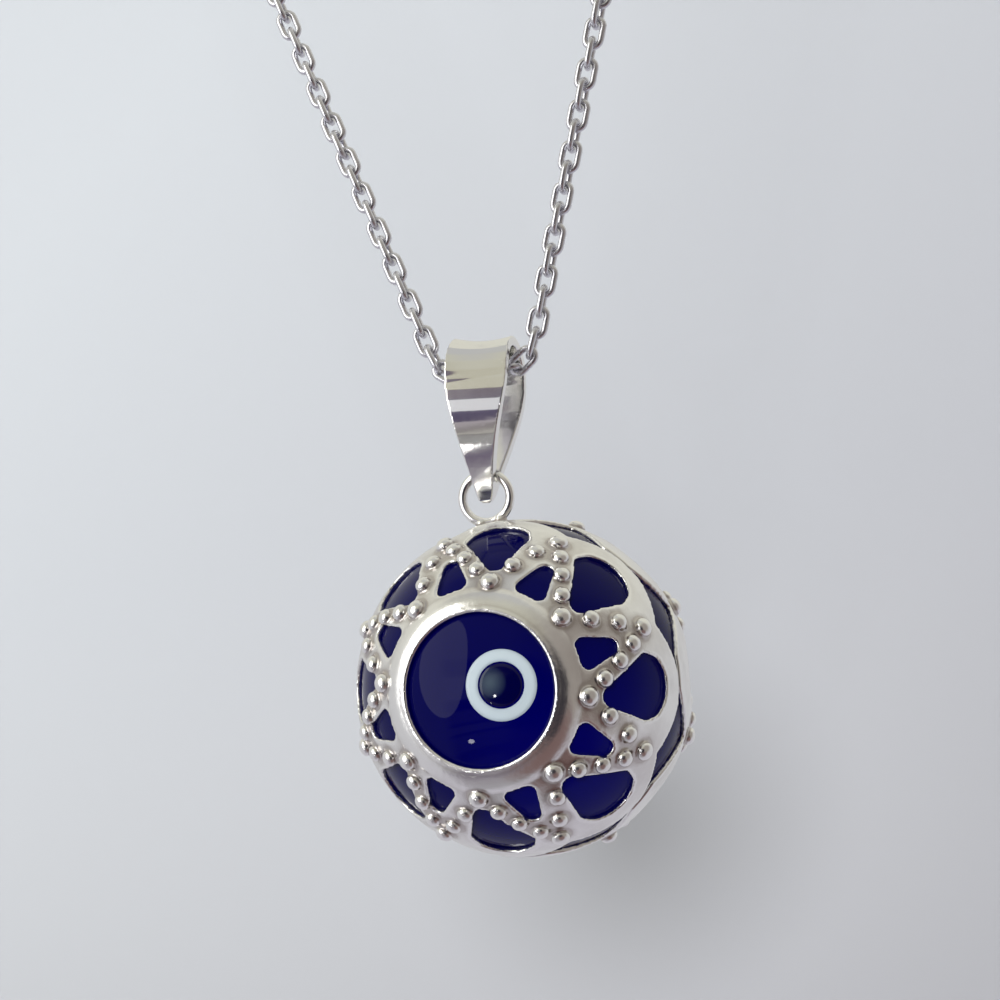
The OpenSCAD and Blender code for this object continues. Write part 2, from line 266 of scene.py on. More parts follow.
def softened(node, name, cell, rounds):
    """A copy of a node, with its edges rounded as casting and polishing leave them."""
    mesh = frame["nodes"][node].data.copy()
    mesh.materials.clear()
    mesh.transform(Matrix.Scale(1 / MM, 4))
    weld(mesh, SCALED_WELD)
    piece = link_object(name, mesh)
    remesh = piece.modifiers.new("Cells", "REMESH")
    remesh.mode = "VOXEL"
    remesh.voxel_size = cell / MM
    remesh.use_smooth_shade = True
    smooth = piece.modifiers.new("Polish", "SMOOTH")
    smooth.factor = POLISH_FACTOR
    smooth.iterations = rounds
    bake(piece)
    triangles = 2 * len(piece.data.polygons)
    if triangles > MOST_TRIANGLES:
        thin = piece.modifiers.new("Thin out", "DECIMATE")
        thin.ratio = MOST_TRIANGLES / triangles
        bake(piece)
    piece.data.transform(Matrix.Scale(MM, 4))
    piece.data.shade_smooth()
    return piece


def clamped(value):
    """A value kept between 0 and 1."""
    return min(1.0, max(0.0, value))


# What lies further than this from the middle of the ball is pressed flatter.
PRESS_START = SHELL_R + 0.05 * MM
# Nothing is pressed this near to the middle of the ring, and the pressing grows over the next length.
RING_KEPT, RING_FADE = 2.2 * MM, 0.6 * MM


def press_beads(mesh, share):
    """Presses what stands out of the shell flatter, as worn castings are. The ring is left as it is."""
    for vertex in mesh.vertices:
        reach = vertex.co - BALL
        length = reach.length
        if length > PRESS_START:
            weight = clamped(((vertex.co - RING_AT).length - RING_KEPT) / RING_FADE)
            pressed = length - weight * (1 - share) * (length - PRESS_START)
            vertex.co = BALL + reach * (pressed / length)


# What lies further than this from the middle of the ball, and outside the smooth band, is a bead.
PROUD_START = SHELL_R + 0.12 * MM
# Rounds of averaging for how far a point stands out, and for how near it is to the beads.
EDGE_ROUNDS, BEAD_ROUNDS = 3, 40


def mark_edges(mesh):
    """Writes how far each point stands out from its neighbours, and how near it is to the beads. The cast
    silver paints its shade and highlight by these.
    """
    count = len(mesh.vertices)
    places = np.empty(3 * count)
    normals = np.empty(3 * count)
    ends = np.empty(2 * len(mesh.edges), np.int64)
    mesh.vertices.foreach_get("co", places)
    mesh.vertices.foreach_get("normal", normals)
    mesh.edges.foreach_get("vertices", ends)
    places, normals, ends = places.reshape(-1, 3), normals.reshape(-1, 3), ends.reshape(-1, 2)
    around = np.bincount(ends.ravel(), minlength=count)

    def spread(values):
        """The mean over the neighbours of each point."""
        total = np.bincount(ends[:, 0], values[ends[:, 1]], count)
        total += np.bincount(ends[:, 1], values[ends[:, 0]], count)
        return total / np.maximum(around, 1)

    means = np.stack([spread(places[:, axis]) for axis in range(3)], axis=1)
    edge = ((places - means) * normals).sum(axis=1) / MM
    for _ in range(EDGE_ROUNDS):
        edge = (edge + spread(edge)) / 2
    reach = places - np.array(BALL)
    far = np.linalg.norm(reach, axis=1)
    beside = np.abs(reach[:, 1]) < far * BAND_SHARE
    proud = ((far > PROUD_START) & beside).astype(float)
    for _ in range(BEAD_ROUNDS):
        proud = spread(proud)
    for name, values in (("edge", edge), ("beads", proud)):
        layer = mesh.attributes.new(name, "FLOAT", "POINT")
        layer.data.foreach_set("value", values.astype(np.float32))


def spun(name, profile, centre, axis, steps=96):
    """A closed ring or dome: a profile of (radius, height) turned round an axis through a centre."""
    turn = Vector((0, 0, 1)).rotation_difference(axis).to_matrix().to_4x4()
    place = Matrix.Translation(centre) @ turn
    points, faces = [], []
    for i in range(steps):
        angle = math.tau * i / steps
        points += [place @ Vector((r * math.cos(angle), r * math.sin(angle), z)) for r, z in profile]
    count = len(profile)
    for i in range(steps):
        for j in range(count):
            a, b = i * count + j, i * count + (j + 1) % count
            shift = ((i + 1) % steps - i) * count
            faces.append((a, a + shift, b + shift, b))
    mesh = bpy.data.meshes.new(name)
    mesh.from_pydata(points, [], faces)
    weld(mesh, WELD, outward=True)
    mesh.shade_smooth()
    return link_object(name, mesh)


def off_axis(point, axis):
    """The vector from the nearest place on an axis through the middle of the glass to a point."""
    return (point - BALL) - (point - BALL).dot(axis) * axis


def radius_about(node, axis):
    """The largest distance of a node's points from an axis through the middle of the glass."""
    return max(off_axis(vertex.co, axis).length for vertex in frame["nodes"][node].data.vertices)


def mark_across(mesh, value_at):
    """Writes a value between 0 and 1 for each point as the attribute "across"."""
    layer = mesh.attributes.new("across", "FLOAT", "POINT")
    layer.data.foreach_set("value", [clamped(value_at(vertex.co)) for vertex in mesh.vertices])


# How far the very edge of a lens sinks, and how far its underside lies below the glass.
EDGE_SINK, LENS_DEPTH = 0.08 * MM, 0.3 * MM


def lens_profile(inner, outer, rise, edge):
    """Profile of a lens or ring that stands just out of the glass, with edges that sink into it."""
    steps = 24
    top = []
    for i in range(steps + 1):
        r = inner + (outer - inner) * i / steps
        rim = min(outer - r, r - inner if inner > 0 else outer)
        sink = EDGE_SINK * max(0.0, 1 - rim / edge) ** 2
        top.append((r, math.sqrt((GLASS_R + rise - sink) ** 2 - r * r)))
    floor = math.sqrt(GLASS_R ** 2 - outer ** 2) - LENS_DEPTH
    return top + [(outer, floor), (inner, floor)]


# Shares of the bail's height from its tip: the leaves bow up to the first, and the edges of the
# fold begin to curl at the second and curl in full at the third.
BOW_TOP, CURL_START, CURL_FULL = 0.72, 0.76, 0.98
# Depth at which a leaf bows half as far as it could.
BOW_DEPTH = 0.4 * MM


def shape_bail(mesh, bow, flare):
    """Bows the leaves of the bail a little outward, and curls the edges of its fold outward."""
    low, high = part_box("bail")
    half_width = (high.x - low.x) / 2
    across = Vector((SWING_AXIS.x, 0, SWING_AXIS.z))
    centre = Vector((0, 0, RUN_Z))
    for vertex in mesh.vertices:
        share = (vertex.co.z - low.z) / (high.z - low.z)
        depth = vertex.co.y
        if 0 < share < BOW_TOP:
            vertex.co.y += bow * math.sin(math.pi * share / BOW_TOP) * depth / (abs(depth) + BOW_DEPTH)
        aside = (vertex.co - centre).dot(across)
        outward = vertex.co - centre - aside * across
        curl = flare * (aside / half_width) ** 2
        curl *= clamped((share - CURL_START) / (CURL_FULL - CURL_START))
        vertex.co += curl * outward.normalized()


# Materials


def socket_in(group, name, kind, value):
    """A new named input of a node group, with its default value."""
    socket = group.interface.new_socket(name, in_out="INPUT", socket_type=kind)
    socket.default_value = value


def feed(links, socket, value):
    """Links a socket to the one that gives its value, or sets a fixed value."""
    if isinstance(value, bpy.types.NodeSocket):
        links.new(value, socket)
    else:
        socket.default_value = value


def maths_node(nodes, links, operation, *values):
    """The result of one step of arithmetic on numbers and sockets."""
    node = nodes.new("ShaderNodeMath")
    node.operation = operation
    for socket, value in zip(node.inputs, values):
        feed(links, socket, value)
    return node.outputs["Value"]


def vector_node(nodes, links, operation, vector, other):
    """The distance or the dot product of a vector and a fixed one."""
    node = nodes.new("ShaderNodeVectorMath")
    node.operation = operation
    links.new(vector, node.inputs[0])
    node.inputs[1].default_value = other
    return node.outputs["Value"]


def range_node(nodes, links, value, low, high, first=0.0, last=1.0, smooth=False):
    """A value mapped from low and high to first and last, and kept between those."""
    node = nodes.new("ShaderNodeMapRange")
    if smooth:
        node.interpolation_type = "SMOOTHSTEP"
    for label, number in (("From Min", low), ("From Max", high), ("To Min", first), ("To Max", last)):
        node.inputs[label].default_value = number
    links.new(value, node.inputs["Value"])
    return node.outputs["Result"]


def mix_node(nodes, links, factor, first, last):
    """A mix of two colours, or of sockets that give them, by a factor."""
    node = nodes.new("ShaderNodeMix")
    node.data_type = "RGBA"
    links.new(factor, node.inputs["Factor"])
    for label, colour in (("A", first), ("B", last)):
        fixed = not isinstance(colour, bpy.types.NodeSocket)
        feed(links, node.inputs[label], (*colour, 1) if fixed else colour)
    return node.outputs["Result"]


def noise_node(nodes, links, scale):
    """Noise that is fixed to the object, at a fixed scale or one that a socket gives."""
    place = nodes.new("ShaderNodeTexCoord")
    noise = nodes.new("ShaderNodeTexNoise")
    links.new(place.outputs["Object"], noise.inputs["Vector"])
    feed(links, noise.inputs["Scale"], scale)
    return noise


def attribute_range(nodes, links, name, low, high, first, last):
    """An attribute of the mesh, mapped from low and high to first and last."""
    read = nodes.new("ShaderNodeAttribute")
    read.attribute_name = name
    return range_node(nodes, links, read.outputs["Fac"], low, high, first, last)


# Scale of the grain on cast and on drawn silver, and the share of its height on drawn silver.
CAST_SCALE, DRAWN_SCALE = 1400.0, 650.0
DRAWN_SHARE = 0.45


def grain_group():
    """Fine unevenness shared by all the silver: a height and a roughness."""
    name = "Silver grain"
    if name in bpy.data.node_groups:
        return bpy.data.node_groups[name]
    group = bpy.data.node_groups.new(name, "ShaderNodeTree")
    for label, value in (("Scale", 900.0), ("Roughness", 0.15), ("Spread", 0.06)):
        socket_in(group, label, "NodeSocketFloat", value)
    for label in ("Height", "Roughness"):
        group.interface.new_socket(label, in_out="OUTPUT", socket_type="NodeSocketFloat")
    nodes, links = group.nodes, group.links
    source = nodes.new("NodeGroupInput").outputs
    result = nodes.new("NodeGroupOutput").inputs
    noise = noise_node(nodes, links, source["Scale"])
    noise.inputs["Detail"].default_value = 3.0
    height = noise.outputs["Fac"]
    links.new(height, result["Height"])
    rough = maths_node(nodes, links, "MULTIPLY_ADD", height, source["Spread"], source["Roughness"])
    links.new(rough, result["Roughness"])
    return group


def new_material(name):
    """A material with a Principled shader: the material, its nodes, its links and the shader."""
    material = bpy.data.materials.new(name)
    material.use_nodes = True
    nodes, links = material.node_tree.nodes, material.node_tree.links
    return material, nodes, links, nodes["Principled BSDF"]


def add_grain(nodes, links, shader, scale, roughness, height):
    """Feeds the grain into a material's roughness and bump."""
    grain = nodes.new("ShaderNodeGroup")
    grain.node_tree = grain_group()
    grain.inputs["Scale"].default_value = scale
    grain.inputs["Roughness"].default_value = roughness
    bump = nodes.new("ShaderNodeBump")
    bump.inputs["Distance"].default_value = height
    links.new(grain.outputs["Roughness"], shader.inputs["Roughness"])
    links.new(grain.outputs["Height"], bump.inputs["Height"])
    links.new(bump.outputs["Normal"], shader.inputs["Normal"])


def drawn_silver(name, colour, roughness, grain):
    """Polished drawn silver."""
    if name in bpy.data.materials:
        return bpy.data.materials[name]
    material, nodes, links, shader = new_material(name)
    shader.inputs["Base Color"].default_value = (*colour, 1)
    shader.inputs["Metallic"].default_value = 1.0
    add_grain(nodes, links, shader, DRAWN_SCALE, roughness, grain * DRAWN_SHARE)
    return material


def bail_silver(context):
    """The silver of the bail and the ring."""
    silver = settings(context).silver
    return drawn_silver("Bail silver", silver.bright, silver.drawn_roughness, silver.grain)


def chain_silver(context):
    """The darker silver of the chain and its clasp."""
    silver = settings(context).silver
    return drawn_silver("Chain silver", silver.dark, silver.chain_roughness, silver.grain)


# Distances from the middle of the ball between which cast silver turns from painted shade, low on the shell
# between the beads, to its bright colour as painted highlight on what stands out.
PAINTED_SHADE_R, BRIGHT_R = SHELL_R + 0.1 * MM, SHELL_R + 0.3 * MM
BLOTCH_SCALE = 300.0
# How cast silver brightens: random blotches of tone, painted shade beside the beads, and painted shade in
# creases with painted highlight on edges. Columns: lowest and highest value read, and what they add.
BLOTCHES = (0.35, 0.65, -0.3, 0.12)
PAINTED_SHADE_BESIDE_BEADS = (0.04, 0.3, 0.9, 0.0)
PAINTED_SHADE_AND_HIGHLIGHT_ON_EDGES = (-0.004, 0.008, -0.6, 1.0)


def cast_silver(context):
    """Cast silver: painted shade between the beads and in creases, and its bright colour as painted
    highlight on beads, edges and smooth bands.
    """
    silver = settings(context).silver
    material, nodes, links, shader = new_material("Cast silver")
    shader.inputs["Metallic"].default_value = 1.0
    place = nodes.new("ShaderNodeTexCoord")
    reach = vector_node(nodes, links, "DISTANCE", place.outputs["Object"], BALL)
    blotches = noise_node(nodes, links, BLOTCH_SCALE)
    bright = range_node(nodes, links, blotches.outputs["Fac"], *BLOTCHES)
    # Painted shade beside the beads, in creases and low on the shell, and painted highlight on edges and on
    # what stands out.
    for value in (attribute_range(nodes, links, "beads", *PAINTED_SHADE_BESIDE_BEADS),
                  attribute_range(nodes, links, "edge", *PAINTED_SHADE_AND_HIGHLIGHT_ON_EDGES),
                  range_node(nodes, links, reach, PAINTED_SHADE_R, BRIGHT_R, smooth=True)):
        bright = maths_node(nodes, links, "ADD", bright, value)
    bright.node.use_clamp = True
    links.new(mix_node(nodes, links, bright, silver.painted_shade, silver.bright), shader.inputs["Base Color"])
    add_grain(nodes, links, shader, CAST_SCALE, silver.cast_roughness, silver.grain)
    return material


# The painted light in the glass, a paler spot where light would come through: its place from the middle and
# its inner and outer size, in glass radii.
PAINTED_LIGHT_AT = Vector((0.55, -0.6, -0.58))
PAINTED_LIGHT_INNER, PAINTED_LIGHT_OUTER = 0.1, 1.1


def cobalt_glass(context):
    """Deep blue glass with painted light: paler blue is painted low on the right, where light would leave
    it.
    """
    glass = settings(context).glass
    material, nodes, links, shader = new_material("Cobalt glass")
    shader.inputs["Roughness"].default_value = 0.03
    shader.inputs["Specular IOR Level"].default_value = 0.09
    place = nodes.new("ShaderNodeTexCoord")
    apart = vector_node(nodes, links, "DISTANCE", place.outputs["Object"], BALL + PAINTED_LIGHT_AT * GLASS_R)
    near = range_node(nodes, links, apart, PAINTED_LIGHT_OUTER * GLASS_R, PAINTED_LIGHT_INNER * GLASS_R, smooth=True)
    links.new(mix_node(nodes, links, near, glass.cobalt, glass.painted_glow), shader.inputs["Base Color"])
    return material


def eye_glass(name, edge, centre, roughness):
    """Glossy glass that pales from its edge to its centre, by the attribute "across" of its mesh."""
    material, nodes, links, shader = new_material(name)
    across = attribute_range(nodes, links, "across", 0, 1, 0, 1)
    links.new(mix_node(nodes, links, across, edge, centre), shader.inputs["Base Color"])
    shader.inputs["Roughness"].default_value = roughness
    shader.inputs["Specular IOR Level"].default_value = 0.3
    return material


# The chain's route, as in the part: through the bail, up a strand, over the shoulder, round the neck.
BAIL_HALF = 1.24 * MM
TURN_R = 2.07 * MM
STRAND_ANGLE = math.radians(17.8)
SHOULDER_R = 8 * MM
CLASP_R = 2.2 * MM
CHAIN_LENGTH = 450 * MM
TURN_LENGTH = TURN_R * (math.pi / 2 - STRAND_ANGLE)
TURN_X = BAIL_HALF + TURN_R * math.cos(STRAND_ANGLE)
TURN_Z = RUN_Z + TURN_R * (1 - math.sin(STRAND_ANGLE))
UP = Vector((math.sin(STRAND_ANGLE), 0, math.cos(STRAND_ANGLE)))
INWARD = Vector((-math.cos(STRAND_ANGLE), 0, math.sin(STRAND_ANGLE)))
STRAND_LENGTH = -TURN_Z / UP.z - SHOULDER_R
NECK_R = TURN_X + (STRAND_LENGTH + SHOULDER_R) * UP.x


def half_route(s):
    """Place, direction and inward vector of the route's right half, at a length s along it."""
    if s < BAIL_HALF:
        return Vector((s, 0, RUN_Z)), Vector((1, 0, 0)), Vector((0, 0, 1))
    s -= BAIL_HALF
    if s < TURN_LENGTH:
        a = s / TURN_R
        place = Vector((BAIL_HALF + TURN_R * math.sin(a), 0, RUN_Z + TURN_R * (1 - math.cos(a))))
        return place, Vector((math.cos(a), 0, math.sin(a))), Vector((-math.sin(a), 0, math.cos(a)))
    s -= TURN_LENGTH
    foot = Vector((TURN_X, 0, TURN_Z))
    if s < STRAND_LENGTH:
        return foot + s * UP, UP.copy(), INWARD.copy()
    s -= STRAND_LENGTH
    if s < SHOULDER_R * math.pi / 2:
        a = s / SHOULDER_R
        back = Vector((0, SHOULDER_R * (1 - math.cos(a)), 0))
        place = foot + (STRAND_LENGTH + SHOULDER_R * math.sin(a)) * UP + back
        return place, math.cos(a) * UP + Vector((0, math.sin(a), 0)), INWARD.copy()
    a = (s - SHOULDER_R * math.pi / 2) / NECK_R
    place = Vector((NECK_R * math.cos(a), SHOULDER_R + NECK_R * math.sin(a), 0))
    inward = Vector((math.cos(a) * INWARD.x, math.sin(a) * INWARD.x, INWARD.z))
    return place, Vector((-math.sin(a), math.cos(a), 0)), inward


def route(s):
    """The whole route. Its left half is the right half seen in a mirror and run the other way."""
    place, along, inward = half_route(abs(s))
    if s < 0:
        place.x, inward.x = -place.x, -inward.x
        along = Vector((along.x, -along.y, -along.z))
    return place, along, inward


def link_points(name, joints, first_parity):
    """A mesh with a point for each link between two joints, and the link's axes as attributes."""
    places, alongs, sides = [], [], []
    for i, (start, end) in enumerate(zip(joints[:-1], joints[1:])):
        a, b = route(start)[0], route(end)[0]
        inward = route((start + end) / 2)[2]
        along = (b - a).normalized()
        upright = (inward - inward.dot(along) * along).normalized()
        places.append((a + b) / 2)
        alongs.append(along)
        sides.append(upright if (i + first_parity) % 2 == 0 else along.cross(upright))
    mesh = bpy.data.meshes.new(name)
    mesh.from_pydata(places, [], [])
    for label, vectors in (("along", alongs), ("side", sides)):
        layer = mesh.attributes.new(label, "FLOAT_VECTOR", "POINT")
        layer.data.foreach_set("vector", np.array(vectors, np.float32).ravel())
    return mesh


# Seed of the links' sway, and the radius of a link's bends as a share of its width.
SWAY_SEED = 7
BEND_SHARE = 0.499


def link_tree():
    """Geometry Nodes that set an oval wire link on every point, along its own axes."""
    tree = bpy.data.node_groups.new("Cable links", "GeometryNodeTree")
    tree.interface.new_socket("Points", in_out="INPUT", socket_type="NodeSocketGeometry")
    for label, value in (("Length", 0.0021), ("Width", 0.00135), ("Wire", 0.00035), ("Sway", 0.14)):
        socket_in(tree, label, "NodeSocketFloat", value)
    for label, value in (("Bend steps", 6), ("Wire sides", 12), ("Seed", SWAY_SEED)):
        socket_in(tree, label, "NodeSocketInt", value)
    tree.interface.new_socket("Material", in_out="INPUT", socket_type="NodeSocketMaterial")
    tree.interface.new_socket("Links", in_out="OUTPUT", socket_type="NodeSocketGeometry")
    nodes, links = tree.nodes, tree.links
    source = nodes.new("NodeGroupInput").outputs
    result = nodes.new("NodeGroupOutput")
    box = nodes.new("GeometryNodeCurvePrimitiveQuadrilateral")
    length = maths_node(nodes, links, "SUBTRACT", source["Length"], source["Wire"])
    width = maths_node(nodes, links, "SUBTRACT", source["Width"], source["Wire"])
    links.new(length, box.inputs["Width"])
    links.new(width, box.inputs["Height"])
    bend = nodes.new("GeometryNodeFilletCurve")
    bend.mode = "POLY"
    bend.inputs["Limit Radius"].default_value = True
    links.new(box.outputs["Curve"], bend.inputs["Curve"])
    links.new(maths_node(nodes, links, "MULTIPLY", width, BEND_SHARE), bend.inputs["Radius"])
    links.new(source["Bend steps"], bend.inputs["Count"])
    wire = nodes.new("GeometryNodeCurvePrimitiveCircle")
    links.new(source["Wire sides"], wire.inputs["Resolution"])
    links.new(maths_node(nodes, links, "MULTIPLY", source["Wire"], 0.5), wire.inputs["Radius"])
    sweep = nodes.new("GeometryNodeCurveToMesh")
    links.new(bend.outputs["Curve"], sweep.inputs["Curve"])
    links.new(wire.outputs["Curve"], sweep.inputs["Profile Curve"])
    axes = nodes.new("FunctionNodeAxesToRotation")
    axes.primary_axis = "X"
    axes.secondary_axis = "Y"
    for label, socket in (("along", "Primary Axis"), ("side", "Secondary Axis")):
        named = nodes.new("GeometryNodeInputNamedAttribute")
        named.data_type = "FLOAT_VECTOR"
        named.inputs["Name"].default_value = label
        links.new(named.outputs["Attribute"], axes.inputs[socket])
    chance = nodes.new("FunctionNodeRandomValue")
    chance.data_type = "FLOAT"
    links.new(maths_node(nodes, links, "MULTIPLY", source["Sway"], -1.0), chance.inputs[2])
    links.new(source["Sway"], chance.inputs[3])
    links.new(source["Seed"], chance.inputs["Seed"])
    swing = nodes.new("FunctionNodeAxisAngleToRotation")
    swing.inputs["Axis"].default_value = (1, 0, 0)
    links.new(chance.outputs[1], swing.inputs["Angle"])
    turn = nodes.new("FunctionNodeRotateRotation")
    turn.rotation_space = "LOCAL"
    links.new(axes.outputs["Rotation"], turn.inputs["Rotation"])
    links.new(swing.outputs["Rotation"], turn.inputs["Rotate By"])
    place = nodes.new("GeometryNodeInstanceOnPoints")
    links.new(source["Points"], place.inputs["Points"])
    links.new(sweep.outputs["Mesh"], place.inputs["Instance"])
    links.new(turn.outputs["Rotation"], place.inputs["Rotation"])
    real = nodes.new("GeometryNodeRealizeInstances")
    links.new(place.outputs["Instances"], real.inputs["Geometry"])
    smooth = nodes.new("GeometryNodeSetShadeSmooth")
    links.new(real.outputs["Geometry"], smooth.inputs["Geometry"])
    paint = nodes.new("GeometryNodeSetMaterial")
    links.new(smooth.outputs["Geometry"], paint.inputs["Geometry"])
    links.new(source["Material"], paint.inputs["Material"])
    links.new(paint.outputs["Geometry"], result.inputs["Links"])
    return tree


def grown(name, mesh, tree, values):
    """What a Geometry Nodes tree grows from a mesh, as a plain mesh."""
    piece = link_object(name, mesh)
    modifier = piece.modifiers.new(tree.name, "NODES")
    modifier.node_group = tree
    for item in tree.interface.items_tree:
        if item.item_type == "SOCKET" and item.in_out == "INPUT" and item.name in values:
            modifier[item.identifier] = values[item.name]
    return bake(piece)


# Operators


class PENDANT_OT_cups(Operator):
    """Make the two pierced cups of cast silver"""

    bl_idname = "pendant.cups"
    bl_label = "Silver cups"

    def execute(self, context):
        silver = settings(context).silver
        material = cast_silver(context)
        for node in ("front_cup", "back_cup"):
            piece = softened(node, f"cast_{node}", silver.cup_cell, silver.softness)
            mark_edges(piece.data)
            press_beads(piece.data, silver.bead_height)
            piece.data.materials.append(material)
            finish_piece(piece, "drop", "silver", node)
        return {"FINISHED"}


class PENDANT_OT_ring(Operator):
    """Make the ring of drawn wire that is soldered to the back cup"""

    bl_idname = "pendant.ring"
    bl_label = "Ring"

    def execute(self, context):
        steps, radius = 20, RING_WIRE / 2
        turns = [math.tau * i / steps for i in range(steps)]
        profile = [(RING_R + radius * math.cos(a), radius * math.sin(a)) for a in turns]
        piece = spun("wire_ring", profile, RING_AT, Vector((0, 1, 0)), steps=120)
        piece.data.materials.append(bail_silver(context))
        finish_piece(piece, "drop", "silver", "back_cup")
        return {"FINISHED"}


class PENDANT_OT_glass(Operator):
    """Make the cobalt glass bead"""

    bl_idname = "pendant.glass"
    bl_label = "Glass bead"

    def execute(self, context):
        arc, radius = 72, GLASS_R + settings(context).glass.swell
        turns = [math.pi * i / arc for i in range(arc + 1)]
        profile = [(radius * math.sin(a), radius * math.cos(a)) for a in turns]
        piece = spun("cobalt_bead", profile, BALL, eye_axis("front"), steps=144)
        piece.data.materials.append(cobalt_glass(context))
        finish_piece(piece, "drop", "cobalt_glass", "glass_bead")
        return {"FINISHED"}


# How far the white ring reaches under the pupil, and how far both stand out of the swollen glass.
EYE_OVERLAP, WHITE_RISE, PUPIL_RISE = 0.02 * MM, 0.05 * MM, 0.04 * MM
# The paler spot in the pupil: its place from the pupil's middle and its radius, in pupil radii.
GLINT_AT, GLINT_R = Vector((-0.45, 0, 0.15)), 0.75


class PENDANT_OT_eyes(Operator):
    """Make the white rings and the pupils that are set into both sides of the glass"""

    bl_idname = "pendant.eyes"
    bl_label = "Eyes"

    def execute(self, context):
        glass = settings(context).glass
        white = eye_glass("White glass", glass.white_edge, glass.white, roughness=0.15)
        dark = eye_glass("Pupil glass", glass.pupil, glass.pupil_glint, roughness=0.03)
        for side in ("front", "back"):
            axis = eye_axis(side)
            outer = radius_about("eye_white_" + side, axis)
            inner = radius_about("eye_pupil_" + side, axis)
            ring = lens_profile(inner - EYE_OVERLAP, outer, glass.swell + WHITE_RISE, glass.edge)
            piece = spun("white_ring_" + side, ring, BALL, axis)
            middle_r, half = (inner + outer) / 2, (outer - inner) / 2
            mark_across(piece.data, lambda p: 1 - (abs(off_axis(p, axis).length - middle_r) / half) ** 3)
            piece.data.materials.append(white)
            finish_piece(piece, "drop", "white_glass", "eye_white_" + side)
            disc = lens_profile(0, inner, glass.swell + PUPIL_RISE, glass.edge)
            piece = spun("pupil_" + side, disc, BALL, axis)
            glint = BALL + GLASS_R * axis + inner * GLINT_AT
            mark_across(piece.data, lambda p: 1 - (p - glint).length / (GLINT_R * inner))
            piece.data.materials.append(dark)
            finish_piece(piece, "drop", "pupil_glass", "eye_pupil_" + side)
        return {"FINISHED"}


class PENDANT_OT_bail(Operator):
    """Make the folded bail"""

    bl_idname = "pendant.bail"
    bl_label = "Bail"

    def execute(self, context):
        silver = settings(context).silver
        piece = softened("bail", "folded_bail", silver.bail_cell, silver.softness)
        shape_bail(piece.data, silver.bail_bow, silver.bail_flare)
        piece.data.materials.append(bail_silver(context))
        finish_piece(piece, "bail", "silver", "bail")
        return {"FINISHED"}


# Clearance between two of the near links, whose wire is stouter.
STOUT_GAP = 0.08 * MM


class PENDANT_OT_chain(Operator):
    """Make the interlocked links of the whole cable chain"""

    bl_idname = "pendant.chain"
    bl_label = "Cable chain"

    def execute(self, context):
        chain = settings(context).chain
        tree = link_tree()
        values = {"Length": chain.link_length, "Width": chain.link_width, "Wire": chain.wire,
                  "Sway": chain.sway, "Material": chain_silver(context)}
        pitch = chain.link_length - 2 * chain.wire - chain.gap
        near = [(i - 0.5) * pitch for i in range(-chain.near_links, chain.near_links + 2)]
        points = link_points("near_points", near, chain.near_links % 2)
        stout = {"Wire": chain.stout_wire, "Length": pitch + 2 * chain.stout_wire + STOUT_GAP,
                 "Width": chain.link_width + chain.stout_wire - chain.wire,
                 "Bend steps": 6, "Wire sides": 12}
        piece = grown("near_links", points, tree, {**values, **stout})
        finish_piece(piece, "chain", "silver", "chain_front")
        end = CHAIN_LENGTH / 2 - CLASP_R
        count = round((end - near[-1]) / pitch)
        far = [near[-1] + (end - near[-1]) * i / count for i in range(count + 1)]
        work = bmesh.new()
        for sign in (1, -1):
            joints = [sign * s for s in far][::sign]
            parity = (chain.near_links + 1) % 2 if sign > 0 else (chain.near_links + count) % 2
            work.from_mesh(link_points("far_points", joints, parity))
        mesh = bpy.data.meshes.new("far_points")
        work.to_mesh(mesh)
        work.free()
        piece = grown("far_links", mesh, tree, {**values, "Bend steps": 4, "Wire sides": 8})
        finish_piece(piece, "chain", "silver", "chain_back")
        return {"FINISHED"}


class PENDANT_OT_clasp(Operator):
    """Give the plain clasp its silver"""

    bl_idname = "pendant.clasp"
    bl_label = "Clasp"

    def execute(self, context):
        clasp = frame["nodes"]["clasp"]
        clasp.data.materials.clear()
        clasp.data.materials.append(chain_silver(context))
        return {"FINISHED"}


class PENDANT_OT_stage(Operator):
    """Set the pale backdrop and floor, the soft lights and the camera"""

    bl_idname = "pendant.stage"
    bl_label = "Stage"

    def execute(self, context):
        stage = settings(context).stage
        make_backdrop(stage)
        make_room(context, stage)
        make_lights(context, stage)
        make_camera(context)
        return {"FINISHED"}


# Stage

WALL_Y = 62 * MM
FLOOR_Z = -200 * MM
# Half the wall's width, its top, the floor's front edge and the radius of the cove between them.
BACKDROP_HALF, BACKDROP_TOP, FLOOR_FRONT, COVE_R = 700 * MM, 420 * MM, -700 * MM, 60 * MM
# The direction in which painted light brightens the backdrop, and how far along it that starts and ends.
PAINTED_LIGHT_WAY = (-0.6, 0, 0.8)
PAINTED_LIGHT_START, PAINTED_LIGHT_END = -160 * MM, -40 * MM


